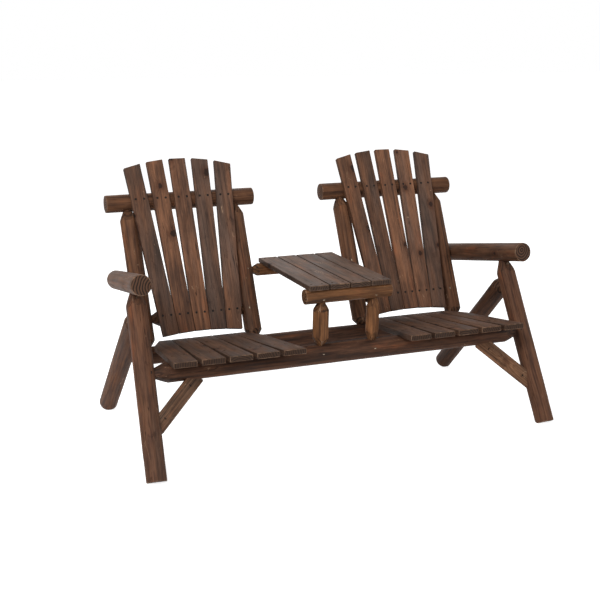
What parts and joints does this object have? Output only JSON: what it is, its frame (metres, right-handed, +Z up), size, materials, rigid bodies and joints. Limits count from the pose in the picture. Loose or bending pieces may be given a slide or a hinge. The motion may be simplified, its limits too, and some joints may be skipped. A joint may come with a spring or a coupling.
{
  "type": "companion seat bench",
  "caption": "Rustic log companion bench: slatted, fan-backed seats joined by a small slatted table, on splayed log legs with sloping log armrests.",
  "frame": {"origin": "on the floor in the middle of the bench's outline", "axes": "+X to the viewer's right along the bench, +Y to the rear, +Z up"},
  "size_m": [1.5621, 0.8316, 0.9526],
  "materials": {
    "leg_log": "dark toasted fir log, satin",
    "arm_log": "dark toasted fir log, satin",
    "beam_log": "dark toasted fir log, satin",
    "back_log": "dark toasted fir log, satin",
    "table_log": "dark toasted fir log, whittled tips, satin",
    "brace": "split log with a sawn face, satin",
    "back_slat": "sawn toasted fir, dark streaks and knots, satin",
    "seat_slat": "sawn toasted fir, satin",
    "table_slat": "sawn toasted fir, satin",
    "screw": "zinc plated, dulled"
  },
  "bodies": {
    "root": {"armrest_left": "arm_log", "armrest_right": "arm_log", "armrest_screws": "screw", "back_frame_screws": "screw", "brace_left": "brace", "brace_right": "brace", "brace_screws": "screw", "front_beam": "beam_log", "front_leg_left": "leg_log", "front_leg_right": "leg_log", "left_back_post_inner": "back_log", "left_back_post_outer": "back_log", "left_back_slat_1": "back_slat", "left_back_slat_2": "back_slat", "left_back_slat_3": "back_slat", "left_back_slat_4": "back_slat", "left_back_slat_5": "back_slat", "left_back_slat_screws": "screw", "left_lower_rail": "back_log", "left_seat_slat_1": "seat_slat", "left_seat_slat_2": "seat_slat", "left_seat_slat_3": "seat_slat", "left_seat_slat_4": "seat_slat", "left_seat_slat_5": "seat_slat", "left_seat_slat_screws": "screw", "left_top_rail": "back_log", "leg_frame_screws": "screw", "rear_beam": "beam_log", "rear_leg_left": "leg_log", "rear_leg_right": "leg_log", "right_back_post_inner": "back_log", "right_back_post_outer": "back_log", "right_back_slat_1": "back_slat", "right_back_slat_2": "back_slat", "right_back_slat_3": "back_slat", "right_back_slat_4": "back_slat", "right_back_slat_5": "back_slat", "right_back_slat_screws": "screw", "right_lower_rail": "back_log", "right_seat_slat_1": "seat_slat", "right_seat_slat_2": "seat_slat", "right_seat_slat_3": "seat_slat", "right_seat_slat_4": "seat_slat", "right_seat_slat_5": "seat_slat", "right_seat_slat_screws": "screw", "right_top_rail": "back_log", "table_crosspiece_front": "table_log", "table_crosspiece_rear": "table_log", "table_frame_screws": "screw", "table_post_left": "table_log", "table_post_right": "table_log", "table_slat_1": "table_slat", "table_slat_2": "table_slat", "table_slat_3": "table_slat", "table_slat_4": "table_slat", "table_slat_screws": "screw"}
  },
  "joints": []
}
